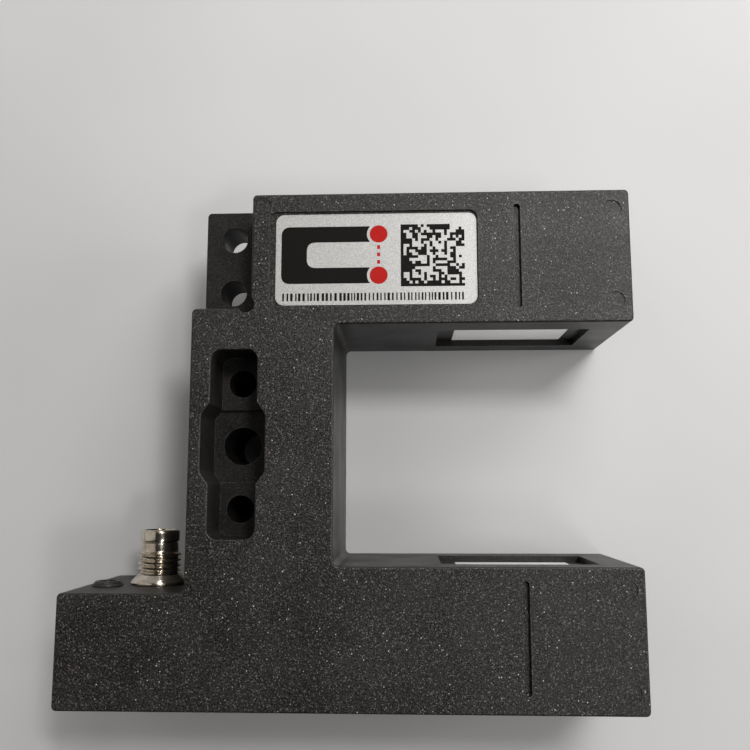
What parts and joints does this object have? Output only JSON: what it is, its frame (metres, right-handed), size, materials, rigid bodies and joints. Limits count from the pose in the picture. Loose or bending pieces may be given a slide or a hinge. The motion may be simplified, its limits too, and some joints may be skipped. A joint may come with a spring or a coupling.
{
  "type": "fork-type photoelectric sensor",
  "caption": "Fork-type photoelectric sensor: C-shaped die-cast body with an emitter arm and a receiver arm, windows facing the gap, side mounting tab, stepped bolt pocket and M8 plug.",
  "frame": {"origin": "centre of the back face's outline, on the face that the sensor lies on", "axes": "+X along the arms towards their tips, +Y up the column (towards the emitter arm), +Z out of the labelled front face"},
  "size_m": [0.1, 0.09, 0.03],
  "materials": {
    "casting": "die-cast, fine-grained black powder coat",
    "cover_plate": "fine-grained black powder coat",
    "steel": "zinc-plated",
    "label_film": "silver polyester film, printed",
    "window_pane": "milky, polished",
    "seal": "matt",
    "lens": "clear, polished",
    "holder": "light-tight black plastic",
    "board": "green solder resist",
    "header": "natural connector plastic",
    "flex": "amber polyimide film",
    "chip": "moulded package",
    "diode": "clear encapsulation",
    "capacitor": "plain can",
    "nickel": "nickel-plated, turned",
    "contact": "gold-plated",
    "insert": "glass-filled plastic",
    "lead": "insulated lead",
    "bezel": "fine-grained black powder coat",
    "light": "smoked, clear"
  },
  "bodies": {
    "root": {"board_capacitors": "capacitor", "connector_insert": "insert", "connector_leads": "lead", "connector_nut": "nickel", "connector_o_ring": "seal", "connector_pins": "contact", "connector_shell": "nickel", "cover_gasket": "seal", "cover_screws": "steel", "emitter_board": "board", "emitter_board_header": "header", "emitter_board_screws": "steel", "emitter_diode": "diode", "emitter_flex": "flex", "emitter_lens": "lens", "emitter_lens_holder": "holder", "emitter_window": "window_pane", "emitter_window_seal": "seal", "housing": "casting", "light_bezel": "bezel", "light_pipe": "light", "main_board": "board", "main_board_headers": "header", "main_board_screws": "steel", "output_driver": "chip", "processor_chip": "chip", "rear_cover": "cover_plate", "receiver_board": "board", "receiver_board_header": "header", "receiver_board_screws": "steel", "receiver_flex": "flex", "receiver_lens": "lens", "receiver_lens_holder": "holder", "receiver_photodiode": "chip", "receiver_window": "window_pane", "receiver_window_seal": "seal", "status_led": "diode", "type_label": "label_film", "voltage_regulator": "chip"}
  },
  "joints": []
}
